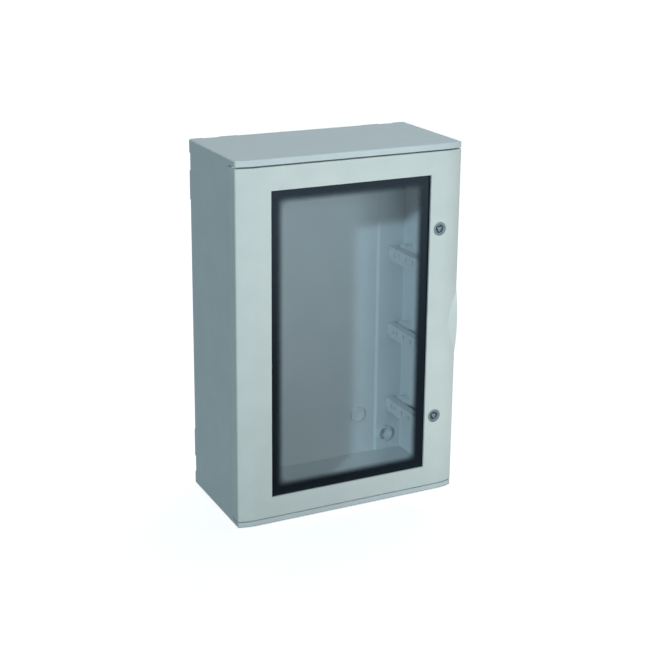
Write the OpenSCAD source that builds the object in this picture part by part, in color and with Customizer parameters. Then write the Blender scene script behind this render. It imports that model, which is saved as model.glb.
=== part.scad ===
// Wall-mounted polyester distribution box with a glazed door.
// X runs to the right, Y to the back and Z up. The front faces -Y.
// The origin is under the middle of the box, on the surface that it stands on.

/* [Enclosure] */
// Overall width
box_w = 420; // [400:1:480]
// Overall height
box_h = 640; // [600:1:760]
// Overall depth, from the flat of the front to the rear rim
box_d = 210; // [190:1:260]
// Thickness of the side walls
side_wall = 4; // [3:0.5:5]
// Thickness of the top and bottom walls behind the rim
end_wall = 5; // [4:0.5:7]
// Thickness of the back wall
back_wall = 5; // [4:0.5:7]
// Height of the lip over the door
lip_top = 10.5; // [9:0.5:14]
// Height of the lip under the door
lip_bottom = 9.5; // [9:0.5:14]
// How far the front falls back at its left and right edges
bow_depth = 6; // [4:0.5:8]
// Width of the curved margin on each side of the front
bow_run = 35; // [30:1:45]
// Radius of the upright front edges
front_edge_r = 4; // [3:0.5:5]
// Radius of the edges round the front and sides of the top and the bottom
edge_r = 2.5; // [1.5:0.5:3]
// Radius inside the rear corners
inner_corner_r = 8; // [5:1:12]

/* [Front rim] */
// Thickness of the rim behind the door
rim_t = 5; // [4:0.5:7]
// Wall of the collar that presses into the door seal
collar_t = 3; // [2.5:0.5:4]
// Collar's distance in from the door's left and right edges
collar_inset_x = 19.5; // [19.5:0.5:22]
// Collar's distance in from the door's top and bottom edges
collar_inset_z = 10.5; // [10:0.5:12]

/* [Back] */
// Depth of the rim round the back
rear_rim = 10; // [8:0.5:14]
// Wall of the rim round the back
rear_rim_wall = 9; // [8.5:0.5:12]
// Wall fixing's distance from the sides
fix_inset_x = 40; // [38:1:46]
// Wall fixing's distance from the top and bottom
fix_inset_z = 39; // [38:1:46]
// Bore of the wall fixing
fix_bore = 7; // [5:0.5:9]
// Outer diameter of the cup round a wall fixing
fix_cup_d = 31; // [26:1:38]
// Wall of that cup
fix_cup_wall = 3.5; // [2.5:0.5:5]
// Height of that cup over the strip
fix_cup_h = 7; // [5:1:12]
// Width of the notch in the rear rim for a fixing lug
lug_w = 31; // [26:1:36]
// Thickness of a fixing lug
lug_t = 4; // [3:0.5:5]
// Length of the rear rim's corner feet along the top and bottom
foot_w = 88; // [80:1:110]
// Length of the rear rim's corner feet along the sides
foot_h = 106; // [90:1:130]
// How far the feet stand out behind the rest of the rear rim
foot_rise = 3; // [2:0.5:4]
// Width of the raised strip along each side of the back wall
strip_w = 56; // [52:1:66]
// Height of that strip
strip_h = 4; // [2:0.5:6]
// Diameter of the plate bosses on the back wall
boss_d = 29; // [20:1:32]
// Height of the plate bosses
boss_h = 4; // [2:0.5:6]
// Diameter of the dish in the face of a plate boss
boss_dish_d = 18; // [12:1:18]
// Depth of that dish
boss_dish = 1.5; // [0.5:0.5:2]
// Distance of the plate bosses from the middle
boss_x = 114; // [90:1:125]
// Distance of the plate bosses from the top and bottom
boss_inset_z = 85; // [70:1:110]

/* [Door] */
// Depth of the door, from the flat of the front to the edge of its skirt
door_d = 31; // [28:1:36]
// Wall of the door
door_t = 4; // [3.5:0.5:5]
// Gap between the door and the lip over it
door_gap_top = 2.6; // [1.4:0.1:3]
// Gap between the door and the lip under it
door_gap_bottom = 1.6; // [1.4:0.1:2.5]
// Gap between the door's skirt and the rim
skirt_gap = 0.8; // [0.6:0.1:1.5]
// Radius of the door's front edges at the top and bottom
door_edge_r = 1.5; // [1:0.25:2]
// Height of the finger grip on the door's edge
grip_h = 114; // [70:1:140]
// How far the grip reaches onto the face
grip_w = 18; // [12:1:20]
// Height of the middle of the grip over the bottom of the box
grip_z = 317; // [280:1:360]

/* [Window] */
// Face of the door beside the window
window_side = 61; // [60:1:75]
// Face of the door over the window
window_over = 40; // [38:1:60]
// Face of the door under the window
window_under = 37; // [36:1:60]
// How far the pane reaches behind the door's face
pane_lap = 4.5; // [3.5:0.25:4.5]
// Thickness of the pane
pane_t = 3; // [2:0.5:4]
// Thickness of the gasket in front of the pane
gasket_t = 1.5; // [1:0.25:2.5]
// Width of the dark border inside the window
border_w = 12; // [8:1:24]
// Thickness of the frame behind the pane
retainer_t = 3; // [2:0.5:4]
// Width of a pane clip
clip_w = 16; // [10:1:20]
// Thickness of a pane clip
clip_t = 1.5; // [1:0.25:2.5]

/* [Hinge] */
// Diameter of the hinge pins
pin_d = 5; // [4:0.5:5]
// Pin axis, distance from the left side
pin_inset_x = 6.5; // [6.5:0.1:6.7]
// Pin axis, distance in front of the skirt's edge
pin_inset_y = 10.6; // [10.6:0.1:11.2]
// Depth of the pin in the lip
pin_seat = 7; // [5:0.5:7]
// Length of the pin in the door
pin_run = 22; // [15:1:28]

/* [Locks] */
// Distance between the two locks
lock_pitch = 346; // [330:1:360]
// Lock axis, distance from the right side
lock_inset = 42; // [41.5:0.5:43]
// Diameter of the lock's rosette
rosette_d = 24; // [22:0.5:25]
// Thickness of the rosette
rosette_t = 2.5; // [2:0.25:3]
// Diameter of the lock's barrel
barrel_d = 20; // [18:0.5:20]
// Diameter of the key socket
socket_d = 15; // [13:0.5:15]
// Size of the nut across its flats
nut_af = 24; // [22:0.5:24]
// Diameter of the spindle
spindle_d = 10; // [9:0.5:11]
// Length of the cam from its axis
cam_reach = 27; // [25:0.5:30]
// Width of the cam
cam_w = 16; // [14:1:18]
// Thickness of the cam
cam_t = 3; // [2:0.5:4]

/* [Rails] */
// Height of the middle of the rails' tops over the middle of the box
rail_rise = 18; // [14:1:20]
// Distance between the rails
rail_pitch = 150; // [125:1:150]
// How far a rail stands out from the side wall
rail_reach = 34; // [28:1:40]
// Width of the flange on top of a rail
rail_flange = 15; // [10:0.5:20]
// Height of a rail's face
rail_face = 22; // [20:1:28]
// Height of the lip under a rail's face
rail_lip = 6; // [4:1:9]
// Sheet thickness of a rail
rail_t = 2; // [1.5:0.25:3]
// Pitch of the slots in a rail
slot_pitch = 26.2; // [20:0.1:28]
// Diameter of the boss on the wall behind a rail's rear screw
rail_boss_d = 36; // [30:1:40]

/* [Hidden] */
$fn = 64;

// Clearances: a running fit, a seated fit, a visible seating gap and the overshoot of a cut
run_fit = 0.05;
seat_fit = 0.1;
seat_gap = 0.3;
cut = 1;
// How far a boss or rib runs into the wall that carries it
root = 1;

// Planes of the box
half_w = box_w / 2;
front_y = -box_d / 2;
rear_y = box_d / 2;
inner_x = half_w - side_wall;
back_outer_y = rear_y - rear_rim;
back_inner_y = back_outer_y - back_wall;
strip_y = back_inner_y - strip_h;

// Bowed front: the curve's radius and centre, and the round of the upright edge that ends it
bow_r = (bow_run ^ 2 + bow_depth ^ 2) / (2 * bow_depth);
bow_centre = [half_w - bow_run, front_y + bow_r];
edge_dx = bow_run - front_edge_r;
edge_dy = sqrt((bow_r - front_edge_r) ^ 2 - edge_dx ^ 2);
edge_centre = bow_centre + [edge_dx, -edge_dy];
bow_turn = atan2(edge_dx, edge_dy);

// Door planes
door_z0 = lip_bottom + door_gap_bottom;
door_z1 = box_h - lip_top - door_gap_top;
door_h = door_z1 - door_z0;
plate_y = front_y + door_t;
door_back_y = front_y + door_d;
rim_y = door_back_y + skirt_gap;
rim_back_y = rim_y + rim_t;
grip_step = 0.5;
grip_inset = 0.2;
grip_facets = 200;

// Collar and seal
collar_x = half_w - collar_inset_x;
collar_z0 = door_z0 + collar_inset_z;
collar_z1 = door_z1 - collar_inset_z;
seal_w = 8;
seal_t = 4;
seal_land_h = 2.5;
seal_land_w = 11;
seal_y = plate_y + seal_land_h;
collar_y = seal_y + seal_t + seat_gap;

// Window and what holds its pane
window_x = half_w - window_side;
window_z0 = door_z0 + window_under;
window_z1 = door_z1 - window_over;
window_mid = (window_z0 + window_z1) / 2;
pane_y = plate_y + gasket_t;
retainer_y = pane_y + pane_t;
clip_y = retainer_y + retainer_t;
clip_lap = 6;
clip_post_d = 8;
clip_post_gap = 3.5;
clip_hole_d = 3.6;
clip_shank_d = 3.2;
clip_shank_h = 7;
clip_head_d = 6.5;
clip_head_h = 2.4;
clip_post_out = pane_lap + clip_post_gap + clip_post_d / 2;
clip_row_pitch = 150;
clip_column_pitch = 170;
clip_rows = [-1.5, -0.5, 0.5, 1.5] * clip_row_pitch;
clip_columns = [-0.5, 0.5] * clip_column_pitch;

// Hinge axis and the pieces round it
hinge_x = -half_w + pin_inset_x;
hinge_y = door_back_y - pin_inset_y;
bush_d = 8;
bush_flange_d = 11;
bush_h = 14;
knuckle_inset = 0.2;
knuckle_r = pin_inset_x - knuckle_inset;
pin_end_gap = 2;
pin_way = 0.5;
knuckle_h = pin_run + pin_end_gap;
cove_gap = 0.4;
cove_r = norm([pin_inset_x, pin_inset_y]) + cove_gap;

// Lock planes
lock_x = half_w - lock_inset;
lock_pad_r = 17;
lock_pad_h = 4;
lock_pad_y = plate_y + lock_pad_h;
nut_h = 5;
barrel_rim_gap = 5;
barrel_end_y = rim_y - barrel_rim_gap;
socket_depth = 9;
key_r = 5.5;
key_sink = 0.8;
core_head_h = 2;
square_w = 7;
cam_y = rim_back_y + seat_gap;
cam_end_y = cam_y + cam_t;
cam_screw_d = 4;
cam_screw_h = 10;
cam_head_d = 9;
cam_head_h = 3;

// Rails and their fixings
rail_count = 4;
rail_x = inner_x - rail_reach;
rail_rim_gap = 14;
rail_strip_gap = 1.5;
rail_front_y = rim_back_y + rail_rim_gap;
rail_back_y = strip_y - rail_strip_gap;
rail_joggle = 3;
slot_w = 4;
slot_h = 9;
slot_count = 4;
first_slot = 36.5;
rail_post_d = 14;
rail_front_end = 14;
rail_rear_end = 24.5;
rail_post_ys = [rail_front_y + rail_front_end, rail_back_y - rail_rear_end];
rail_boss_gap = 2.5;
rail_boss_h = rail_reach - rail_flange - rail_boss_gap;
insert_d = 7;
insert_h = 10;
insert_bore = 4.2;
rail_shank_d = 4;
rail_shank_h = 9;
rail_head_d = 8;
rail_head_h = 2.4;

// Shapes in plan

// Plan of the box with its bowed front, drawn in by an inset on every side
module bowed_plan(inset = 0) {
    flat = bow_centre.x;
    half = half_w - inset;
    translate([-flat, front_y + inset]) square([2 * flat, box_d - 2 * inset]);
    for (side = [0, 1]) mirror([side, 0]) {
        intersection() {
            translate(bow_centre) circle(bow_r - inset);
            translate([flat, front_y]) square([half - flat, bow_centre.y - front_y]);
        }
        translate([flat, bow_centre.y]) square([half - flat, rear_y - inset - bow_centre.y]);
    }
}

// What rounding takes off an upright edge, between two directions from the rounding's centre
module edge_waste(centre, r, from, to, reach) {
    outer = r + reach;
    translate(centre) difference() {
        polygon([
            [0, 0],
            outer * [cos(from), sin(from)],
            outer * [cos((from + to) / 2), sin((from + to) / 2)] / cos((to - from) / 2),
            outer * [cos(to), sin(to)]
        ]);
        circle(r);
    }
}

// Plan of the box with its upright front edges rounded
module box_plan() {
    difference() {
        bowed_plan();
        for (side = [0, 1]) mirror([side, 0]) edge_waste(edge_centre, front_edge_r, bow_turn - 90, 0, cut);
    }
}

// Everything in front of a plane across the plan
module in_front_of(y) {
    translate([-box_w, -box_d]) square([2 * box_w, y + box_d]);
}

// Rounded edges

// Section of the cutter that rounds an edge, with its centre at the origin
module round_bit(r) {
    difference() {
        square(r + cut);
        circle(r);
    }
}

// Cutter for the top edge of the bowed front, which runs out past the upright edges
module front_round_over(r, z) {
    sweep = asin((bow_run + edge_r) / bow_r);
    translate([bow_centre.x, front_y + r, z - r]) rotate([90, 0, -90])
        linear_extrude(2 * bow_centre.x) round_bit(r);
    for (side = [0, 1]) mirror([side, 0, 0])
        translate([bow_centre.x, bow_centre.y, z - r]) rotate([0, 0, -90])
            rotate_extrude(angle = sweep) translate([bow_r - r, 0]) round_bit(r);
}

// Cutter for the top edges along the two sides
module side_round_over(r, z) {
    for (side = [0, 1]) mirror([side, 0, 0]) translate([half_w - r, rear_y + cut, z - r]) rotate([90, 0, 0])
        linear_extrude(box_d + cut) round_bit(r);
}

// Small building shapes

// Upright rectangular frame, centred in X, given its inner half width, its inner ends and its width
module frame_ring(half, z0, z1, width, y, depth) {
    difference() {
        translate([-half - width, y, z0 - width]) cube([2 * (half + width), depth, z1 - z0 + 2 * width]);
        translate([-half, y - cut, z0]) cube([2 * half, depth + 2 * cut, z1 - z0]);
    }
}

// Cylinder along +Y
module rod_y(d, h) {
    rotate([-90, 0, 0]) cylinder(d = d, h = h);
}

// Pan-head screw along +Y, with its seat at the origin and its head behind it
module pan_screw(head_d, head_h, shank_d, shank_h) {
    rod_y(head_d, head_h);
    translate([0, -shank_h, 0]) rod_y(shank_d, shank_h);
}

// Places the children at each wall fixing
module at_fixings() {
    for (x = [-1, 1] * (half_w - fix_inset_x), z = [fix_inset_z, box_h - fix_inset_z])
        translate([x, 0, z]) children();
}

// Places the children at each pane clip, with +X pointing away from the window
module at_clips() {
    for (side = [0, 1], row = clip_rows)
        mirror([side, 0, 0]) translate([window_x, 0, window_mid + row]) children();
    for (column = clip_columns) {
        translate([column, 0, window_z1]) rotate([0, -90, 0]) children();
        translate([column, 0, window_z0]) rotate([0, 90, 0]) children();
    }
}

// Height of the top of a rail, counted from the bottom
function rail_z(index) = box_h / 2 + rail_rise + (index - (rail_count + 1) / 2) * rail_pitch;

// Places the children at the rail fixings on both side walls, with +X pointing into the wall
module at_rail_fixings(ys = rail_post_ys) {
    for (side = [0, 1], index = [1 : rail_count], y = ys)
        mirror([side, 0, 0]) translate([rail_x, y, rail_z(index) - rail_face / 2]) children();
}

// Height of the upper (1) or lower (-1) lock
function lock_z(level) = window_mid + level * lock_pitch / 2;

// Body

// Outer form with the bay for the door, the inner space and the recess at the back
module body_shell() {
    rim_z0 = collar_z0 + collar_t;
    rim_z1 = collar_z1 - collar_t;
    difference() {
        linear_extrude(box_h) box_plan();
        front_round_over(edge_r, box_h);
        side_round_over(edge_r, box_h);
        mirror([0, 0, 1]) front_round_over(edge_r, 0);
        mirror([0, 0, 1]) side_round_over(edge_r, 0);
        translate([-box_w, front_y - cut, lip_bottom])
            cube([2 * box_w, rim_y - front_y + cut, box_h - lip_bottom - lip_top]);
        translate([0, 0, end_wall]) linear_extrude(box_h - 2 * end_wall) difference() {
            translate([-inner_x, rim_back_y]) square([2 * inner_x, back_inner_y - rim_back_y]);
            corner = [inner_x - inner_corner_r, back_inner_y - inner_corner_r];
            for (side = [0, 1]) mirror([side, 0]) edge_waste(corner, inner_corner_r, 0, 90, cut);
        }
        translate([-collar_x + collar_t, rim_y - cut, rim_z0])
            cube([2 * (collar_x - collar_t), rim_t + 2 * cut, rim_z1 - rim_z0]);
        translate([-half_w + rear_rim_wall, back_outer_y, rear_rim_wall])
            cube([box_w - 2 * rear_rim_wall, rear_rim + cut, box_h - 2 * rear_rim_wall]);
    }
}

// Raised strip along each side of the back wall, with a sloping edge
module back_strip() {
    for (side = [0, 1]) mirror([side, 0, 0])
        translate([0, 0, end_wall - root]) linear_extrude(box_h - 2 * end_wall + 2 * root) polygon([
            [half_w - strip_w - strip_h, back_inner_y],
            [half_w - strip_w, strip_y],
            [inner_x + root, strip_y],
            [inner_x + root, back_inner_y + root],
            [half_w - strip_w - strip_h, back_inner_y + root]
        ]);
}

// What lies open behind the rear rim: the stretches between its corner feet, and the notches for fixing lugs
module rear_rim_waste() {
    translate([-half_w + foot_w, rear_y - foot_rise, -cut])
        cube([box_w - 2 * foot_w, foot_rise + cut, box_h + 2 * cut]);
    translate([-half_w - cut, rear_y - foot_rise, foot_h])
        cube([box_w + 2 * cut, foot_rise + cut, box_h - 2 * foot_h]);
    at_fixings() translate([-lug_w / 2, rear_y - lug_t, -box_h]) cube([lug_w, lug_t + cut, 2 * box_h]);
    at_fixings() translate([-box_w, rear_y - lug_t, -lug_w / 2]) cube([2 * box_w, lug_t + cut, lug_w]);
}

// Places the children at each plate boss, on its face
module at_plate_bosses() {
    for (x = [-1, 1] * boss_x, z = [boss_inset_z, box_h - boss_inset_z])
        translate([x, back_inner_y - boss_h, z]) children();
}

// One-piece moulded body
module enclosure_body() {
    color("#A9B7BA") difference() {
        union() {
            body_shell();
            back_strip();
            frame_ring(collar_x - collar_t, collar_z0 + collar_t, collar_z1 - collar_t, collar_t,
                collar_y, rim_y - collar_y + root);
            at_fixings() translate([0, strip_y - fix_cup_h, 0])
                rod_y(fix_cup_d, rear_y - lug_t - strip_y + fix_cup_h);
            at_plate_bosses() rod_y(boss_d, boss_h + root);
            at_rail_fixings() translate([rail_t, 0, 0]) rotate([0, 90, 0])
                cylinder(d = rail_post_d, h = rail_reach - rail_t + root);
            at_rail_fixings([rail_post_ys[1]]) translate([rail_reach - rail_boss_h, 0, 0]) rotate([0, 90, 0])
                cylinder(d = rail_boss_d, h = rail_boss_h + root);
        }
        at_fixings() translate([0, strip_y - fix_cup_h - cut, 0])
            rod_y(fix_cup_d - 2 * fix_cup_wall, fix_cup_h + strip_h + cut);
        at_fixings() translate([0, strip_y, 0]) rod_y(fix_bore, rear_y - strip_y);
        rear_rim_waste();
        at_plate_bosses() translate([0, -cut, 0]) rod_y(boss_dish_d, boss_dish + cut);
        at_rail_fixings() translate([rail_t - cut, 0, 0]) rotate([0, 90, 0])
            cylinder(d = insert_d + 2 * seat_fit, h = insert_h + cut);
        translate([hinge_x, hinge_y, lip_bottom]) cylinder(r = cove_r, h = box_h - lip_bottom - lip_top);
        translate([hinge_x, hinge_y, lip_bottom - pin_seat])
            cylinder(d = pin_d + 2 * run_fit, h = pin_seat + cut);
        translate([hinge_x, hinge_y, box_h - lip_top - cut])
            cylinder(d = pin_d + 2 * run_fit, h = pin_seat + cut);
    }
}

// Door

// Open tray: bowed face plate with a skirt all round, and the finger grip on its edge
module door_tray() {
    difference() {
        union() {
            translate([0, 0, door_z0]) linear_extrude(door_h) intersection() {
                box_plan();
                in_front_of(door_back_y);
            }
            finger_grip();
        }
        translate([0, 0, door_z0 + door_t]) linear_extrude(door_h - 2 * door_t) intersection() {
            bowed_plan(door_t);
            in_front_of(door_back_y + cut);
        }
    }
}

// Finger grip: a swelling that flares forward out of the curved margin, rounded from top to bottom
module finger_grip() {
    grip_x = half_w - grip_w;
    lead = grip_w / 2;
    rise = bow_r - sqrt(bow_r ^ 2 - (bow_run - grip_w) ^ 2);
    drop = bow_depth - grip_inset;
    grip_r = ((grip_h / 2) ^ 2 + drop ^ 2) / (2 * drop);
    flare = atan2(rise - grip_inset, grip_w);
    intersection() {
        translate([grip_x, front_y + rise, grip_z]) rotate([0, 0, -flare])
            translate([-grip_w, grip_r, 0]) rotate([0, 90, 0])
                cylinder(r = grip_r, h = 3 * grip_w, $fn = grip_facets);
        translate([grip_x - lead, front_y, grip_z - grip_h / 2])
            cube([lead + grip_w - grip_step, 2 * bow_depth, grip_h]);
    }
}

// Moulded door with its window, hinge knuckles, lock pads and clip posts
module door_frame() {
    color("#BFCBCC") difference() {
        union() {
            door_tray();
            frame_ring(collar_x - collar_t / 2 - seal_land_w / 2, collar_z0 + collar_t / 2 + seal_land_w / 2,
                collar_z1 - collar_t / 2 - seal_land_w / 2, seal_land_w, plate_y - door_t / 2,
                seal_land_h + door_t / 2);
            for (z = [door_z0, door_z1 - knuckle_h]) translate([hinge_x, hinge_y, z])
                cylinder(r = knuckle_r, h = knuckle_h);
            for (level = [-1, 1]) intersection() {
                translate([lock_x, plate_y - door_t / 2, lock_z(level)])
                    rod_y(2 * lock_pad_r, lock_pad_h + door_t / 2);
                translate([window_x + pane_lap + seat_gap, front_y, 0]) cube([box_w, box_d, box_h]);
            }
            at_clips() translate([clip_post_out, plate_y - door_t / 2, 0])
                rod_y(clip_post_d, clip_y - plate_y + door_t / 2);
        }
        translate([-window_x, front_y - cut, window_z0])
            cube([2 * window_x, door_t + 2 * cut, window_z1 - window_z0]);
        for (level = [-1, 1]) translate([lock_x, 0, lock_z(level)]) {
            translate([0, front_y - cut, 0]) rod_y(rosette_d + 2 * seat_fit, rosette_t + cut);
            translate([0, front_y, 0]) rod_y(barrel_d + 2 * seat_fit, 2 * door_t + lock_pad_h);
        }
        at_clips() translate([clip_post_out, clip_y - clip_shank_h, 0])
            rod_y(clip_shank_d + 2 * run_fit, clip_shank_h + cut);
        translate([hinge_x, hinge_y, door_z0 - cut]) hinge_bore();
        translate([hinge_x, hinge_y, door_z1 + cut]) mirror([0, 0, 1]) hinge_bore();
        front_round_over(door_edge_r, door_z1);
        translate([0, 0, door_z0]) mirror([0, 0, 1]) front_round_over(door_edge_r, 0);
    }
}

// Stepped bore of a knuckle: the bush's seat and the pin's way behind it
module hinge_bore() {
    cylinder(d = bush_d + 2 * seat_fit, h = bush_h + cut);
    cylinder(d = pin_d + 2 * pin_way, h = knuckle_h + 2 * cut);
}

// Soft ring that the collar presses into
module door_seal() {
    inset = collar_t / 2 + seal_w / 2;
    color("#3A3F42")
        frame_ring(collar_x - inset, collar_z0 + inset, collar_z1 - inset, seal_w, seal_y, seal_t);
}

// Window

// Smoked sheet behind the opening
module window_pane() {
    color("#6F7F86", 0.55) translate([-window_x - pane_lap, pane_y, window_z0 - pane_lap])
        cube([2 * (window_x + pane_lap), pane_t, window_z1 - window_z0 + 2 * pane_lap]);
}

// Flat gasket between the door's face and the pane
module pane_gasket() {
    color("#22272A") frame_ring(window_x + seat_gap, window_z0 - seat_gap, window_z1 + seat_gap,
        pane_lap - seat_gap, plate_y, gasket_t);
}

// Dark frame behind the pane, seen through it as the border
module pane_retainer() {
    color("#1F2A33") frame_ring(window_x - border_w, window_z0 + border_w, window_z1 - border_w,
        border_w + pane_lap, retainer_y, retainer_t);
}

// Flat clips that hold the frame and the pane
module pane_clips() {
    clip_start = pane_lap - clip_lap;
    clip_len = clip_post_out + clip_post_d / 2 - clip_start;
    color("#B8BCBE") at_clips() difference() {
        translate([clip_start, clip_y, -clip_w / 2]) cube([clip_len, clip_t, clip_w]);
        translate([clip_post_out, clip_y - cut, 0]) rod_y(clip_hole_d, clip_t + 2 * cut);
    }
}

// Screws of the clips
module clip_screws() {
    shank_h = clip_shank_h + clip_t - seat_gap;
    color("#C9CCCE") at_clips() translate([clip_post_out, clip_y + clip_t, 0])
        pan_screw(clip_head_d, clip_head_h, clip_shank_d, shank_h);
}

// Hinge

// Plain pin, seated in a lip and turning in the door across the gap, drawn with the lip's face at the origin
module hinge_pin(gap) {
    color("#B4B9BC") translate([0, 0, -gap - pin_run])
        cylinder(d = pin_d, h = pin_run + gap + pin_seat - seat_gap);
}

// Flanged bush, pressed into a knuckle from the gap that it fills, drawn with the door's edge at the origin
module hinge_bush(gap) {
    flange_h = gap - seat_gap;
    color("#E4E1D6") difference() {
        union() {
            translate([0, 0, -bush_h]) cylinder(d = bush_d, h = bush_h);
            cylinder(d = bush_flange_d, h = flange_h);
        }
        translate([0, 0, -bush_h - cut]) cylinder(d = pin_d + 2 * run_fit, h = bush_h + flange_h + 2 * cut);
    }
}

module hinge_pin_upper() {
    translate([hinge_x, hinge_y, box_h - lip_top]) hinge_pin(door_gap_top);
}

module hinge_pin_lower() {
    translate([hinge_x, hinge_y, lip_bottom]) mirror([0, 0, 1]) hinge_pin(door_gap_bottom);
}

module hinge_bush_upper() {
    translate([hinge_x, hinge_y, door_z1]) hinge_bush(door_gap_top);
}

module hinge_bush_lower() {
    translate([hinge_x, hinge_y, door_z0]) mirror([0, 0, 1]) hinge_bush(door_gap_bottom);
}

// Locks

// Barrel with its rosette, key socket and spindle bore
module lock_barrel(level) {
    color("#8E9BA0") translate([lock_x, 0, lock_z(level)]) difference() {
        union() {
            translate([0, front_y, 0]) rod_y(rosette_d, rosette_t);
            translate([0, front_y, 0]) rod_y(barrel_d, barrel_end_y - front_y);
        }
        translate([0, front_y - cut, 0]) rod_y(socket_d, socket_depth + cut);
        translate([0, front_y, 0]) rod_y(spindle_d + 2 * run_fit, box_d);
    }
}

// Hexagonal nut behind the door
module lock_nut(level) {
    color("#B4B9BC") translate([lock_x, lock_pad_y, lock_z(level)]) rotate([-90, 0, 0]) difference() {
        rotate(30) cylinder(d = nut_af / cos(30), h = nut_h, $fn = 6);
        translate([0, 0, -cut]) cylinder(d = barrel_d + 2 * seat_fit, h = nut_h + 2 * cut);
    }
}

// Spindle with a three-sided key at the front and a square for the cam at the back
module lock_core(level) {
    head_y = front_y + socket_depth - core_head_h;
    color("#4A555A") translate([lock_x, 0, lock_z(level)]) difference() {
        union() {
            translate([0, front_y + key_sink, 0]) rotate([-90, 0, 0]) rotate(90)
                cylinder(r = key_r, h = head_y - front_y - key_sink + cut, $fn = 3);
            translate([0, head_y, 0]) rod_y(socket_d - 2 * seat_gap, core_head_h - run_fit);
            translate([0, head_y, 0]) rod_y(spindle_d, cam_y - head_y - run_fit);
            translate([-square_w / 2, head_y, -square_w / 2]) cube([square_w, cam_end_y - head_y, square_w]);
        }
        translate([0, cam_end_y - cam_screw_h, 0]) rod_y(cam_screw_d + 2 * run_fit, cam_screw_h + cut);
    }
}

// Flat cam, hanging down when the lock is open
module lock_cam(level) {
    hole = square_w + 2 * run_fit;
    color("#B4B9BC") translate([lock_x, cam_end_y, lock_z(level)]) rotate([90, 0, 0])
        linear_extrude(cam_t) difference() {
            union() {
                circle(d = cam_w);
                translate([-cam_w / 2, -cam_reach]) square([cam_w, cam_reach]);
            }
            translate([-hole / 2, -hole / 2]) square(hole);
        }
}

// Screw that holds the cam
module cam_screw(level) {
    color("#C9CCCE") translate([lock_x, cam_end_y, lock_z(level)])
        pan_screw(cam_head_d, cam_head_h, cam_screw_d, cam_screw_h - seat_gap);
}

// Rails

// Section of a rail against the right-hand wall, with the top of its face at the origin
module rail_section() {
    translate([0, -rail_face]) square([rail_t, rail_face]);
    translate([0, -rail_t]) square([rail_flange, rail_t]);
    translate([0, -rail_face]) square([rail_joggle + rail_t, rail_t]);
    translate([rail_joggle, -rail_face - rail_lip]) square([rail_t, rail_lip + rail_t]);
}

// Upright slot through a rail's face
module rail_slot() {
    straight = slot_h - slot_w;
    rotate([0, 90, 0]) linear_extrude(rail_t + 2 * cut) {
        translate([-straight / 2, -slot_w / 2]) square([straight, slot_w]);
        for (end = [-1, 1] * straight / 2) translate([end, 0]) circle(d = slot_w);
    }
}

// Rail of one side (1 right, -1 left), counted from the bottom
module rail(side, index) {
    color("#A3B1B4") mirror([side < 0 ? 1 : 0, 0, 0])
        translate([rail_x, 0, rail_z(index)]) difference() {
            translate([0, rail_back_y, 0]) rotate([90, 0, 0])
                linear_extrude(rail_back_y - rail_front_y) rail_section();
            for (slot = [0 : slot_count - 1])
                translate([-cut, rail_back_y - first_slot - slot * slot_pitch, -rail_face / 2]) rail_slot();
            for (y = rail_post_ys) translate([-cut, y, -rail_face / 2]) rotate([0, 90, 0])
                cylinder(d = rail_shank_d + 4 * seat_fit, h = rail_t + 2 * cut);
        }
}

// Threaded inserts in the ends of the rail posts
module rail_inserts() {
    color("#B99A4B") at_rail_fixings() translate([rail_t, 0, 0]) rotate([0, 90, 0]) difference() {
        cylinder(d = insert_d, h = insert_h);
        translate([0, 0, -cut]) cylinder(d = insert_bore, h = insert_h + 2 * cut);
    }
}

// Screws of the rails
module rail_screws() {
    color("#C9CCCE") at_rail_fixings() rotate([0, 0, 90])
        pan_screw(rail_head_d, rail_head_h, rail_shank_d, rail_shank_h);
}

enclosure_body();
door_frame();
window_pane();
pane_gasket();
pane_retainer();
pane_clips();
clip_screws();
door_seal();
rail_inserts();
rail_screws();
hinge_pin_upper();
hinge_pin_lower();
hinge_bush_upper();
hinge_bush_lower();
lock_barrel(1);  // lock_barrel_upper
lock_nut(1);  // lock_nut_upper
lock_core(1);  // lock_core_upper
lock_cam(1);  // lock_cam_upper
cam_screw(1);  // cam_screw_upper
lock_barrel(-1);  // lock_barrel_lower
lock_nut(-1);  // lock_nut_lower
lock_core(-1);  // lock_core_lower
lock_cam(-1);  // lock_cam_lower
cam_screw(-1);  // cam_screw_lower
rail(-1, 1);  // rail_left_1
rail(-1, 2);  // rail_left_2
rail(-1, 3);  // rail_left_3
rail(-1, 4);  // rail_left_4
rail(1, 1);  // rail_right_1
rail(1, 2);  // rail_right_2
rail(1, 3);  // rail_right_3
rail(1, 4);  // rail_right_4
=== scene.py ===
"""Dresses a glazed polyester distribution box: finishes for its moulded, glazed and metal pieces,
detailed locks, screws, clips and seal, and a plain pale studio round it."""
from collections import namedtuple
from math import asin, cos, pi, radians, sin, tau

import bmesh
import bpy
from bpy.props import FloatProperty, FloatVectorProperty, PointerProperty
from mathutils import Matrix, Vector


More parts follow.
